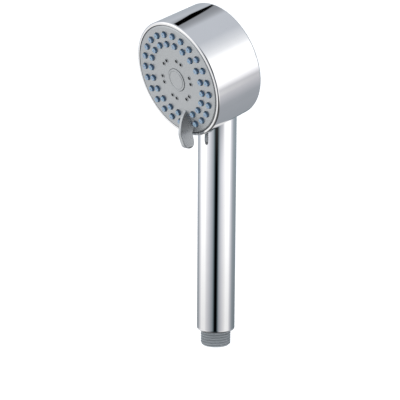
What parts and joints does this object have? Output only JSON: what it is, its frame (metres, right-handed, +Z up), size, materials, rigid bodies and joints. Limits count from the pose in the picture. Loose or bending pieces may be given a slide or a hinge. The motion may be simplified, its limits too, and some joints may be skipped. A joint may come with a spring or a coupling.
{
  "type": "handheld shower head",
  "caption": "Handheld shower head: tilted chrome drum with a turning nozzle face and thumb lever, straight round handle and threaded inlet.",
  "frame": {"origin": "centre of the inlet's washer face, at the free end of the thread", "axes": "+Z up along the handle from the inlet to the head; the spray leaves towards -Y, 19 degrees below level; +X to the right seen from the sprayed side"},
  "size_m": [0.0804, 0.0621, 0.2363],
  "materials": {
    "chrome": "bright chrome plate on moulded ABS, mirror polished",
    "satin_grey": "satin silver-grey moulded ABS with a fine spark-eroded grain",
    "lever_grey": "satin grey moulded ABS, a shade darker than the face",
    "blue_silicone": "soft translucent light-blue silicone",
    "thread_grey": "glass-filled nylon, mid grey, faint mould grain",
    "white_pom": "natural acetal, unpainted",
    "black_rubber": "black EPDM seal rubber",
    "stainless": "plain stainless spring wire and screws"
  },
  "bodies": {
    "casing": {"head_shell": "chrome", "handle_sleeve": "chrome", "inlet_nipple": "thread_grey", "inlet_strainer": "white_pom", "regulator_body": "white_pom", "regulator_ring": "black_rubber", "valve_housing": "white_pom", "valve_o_ring": "black_rubber", "valve_guide": "white_pom", "valve_spring": "stainless", "water_tube": "thread_grey", "lower_tube_ring": "black_rubber", "upper_tube_ring": "black_rubber", "manifold": "white_pom", "manifold_screws": "stainless", "port_seal": "black_rubber", "port_spring": "stainless", "post_o_ring": "black_rubber", "detent_spring": "stainless", "spindle_washer": "stainless", "spindle_screw": "stainless"},
    "check_poppet": {"valve_poppet": "white_pom", "poppet_seal": "black_rubber"},
    "spray_dial": {"distributor": "white_pom", "spray_plate": "satin_grey", "nozzle_mat": "blue_silicone", "centre_cap": "satin_grey", "selector_lever": "lever_grey"},
    "turbine": {"turbine_rotor": "white_pom"}
  },
  "joints": [
    {"name": "spray_selector", "type": "hinge", "parent": "casing", "child": "spray_dial", "pos_m": [0, 0, 0.1984], "axis": [0, -0.9455, -0.3256], "range_deg": [-45, 45], "deforming": ["detent_spring"]},
    {"name": "turbine_spin", "type": "hinge", "parent": "spray_dial", "child": "turbine", "pos_m": [0, 0, 0.1984], "axis": [0, -0.9455, -0.3256], "continuous": true},
    {"name": "check_valve_lift", "type": "slide", "parent": "casing", "child": "check_poppet", "axis": [0, 0, 1], "range_m": [0, 0.0022], "stiffness_N_per_m": 80, "springref_m": -0.004, "deforming": ["valve_spring"]}
  ]
}
